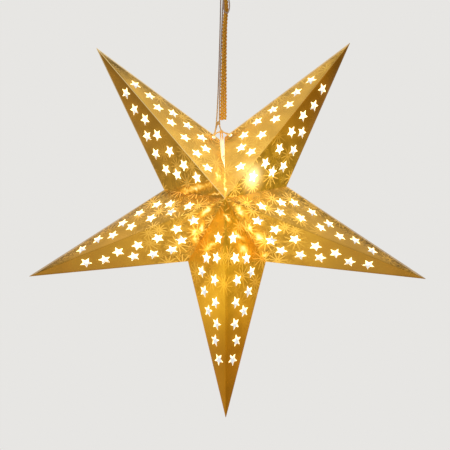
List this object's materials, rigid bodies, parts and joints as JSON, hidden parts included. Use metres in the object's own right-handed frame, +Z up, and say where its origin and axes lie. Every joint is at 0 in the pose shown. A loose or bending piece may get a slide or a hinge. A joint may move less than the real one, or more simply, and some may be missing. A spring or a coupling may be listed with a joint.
{
  "type": "paper star lantern",
  "caption": "Folded foil-card star lantern pierced with small stars, with a lamp inside, hung from a doubled string.",
  "frame": {"origin": "top of the eye of the hanging loop, where a hook carries the lantern", "axes": "+Z up, front of the star faces -Y, +X along the star's width"},
  "size_m": [0.589, 0.176, 0.6707],
  "materials": {
    "foil_card": "satin metallic foil outside, white card inside",
    "string": "twisted cotton",
    "plait": "plaited amber yarn",
    "holder_plastic": "matte white thermoplastic",
    "holder_ceramic": "unglazed",
    "contact_brass": "plain",
    "bulb_glass": "frosted, lit warm white"
  },
  "bodies": {
    "root": {"point_upper_right": "foil_card", "point_upper_left": "foil_card", "point_left": "foil_card", "point_bottom": "foil_card", "point_right": "foil_card", "hang_loop": "string", "string_left": "string", "string_right": "string", "cross_lace": "string", "lamp_tie": "string", "string_tail": "string", "top_knot": "string", "middle_knot": "string", "lace_knot": "string", "lace_hitch": "string", "plaited_cord": "plait", "lamp_holder": "holder_plastic", "contact_block": "holder_ceramic", "socket_shell": "contact_brass", "centre_contact": "contact_brass", "bulb": "bulb_glass"}
  },
  "joints": []
}
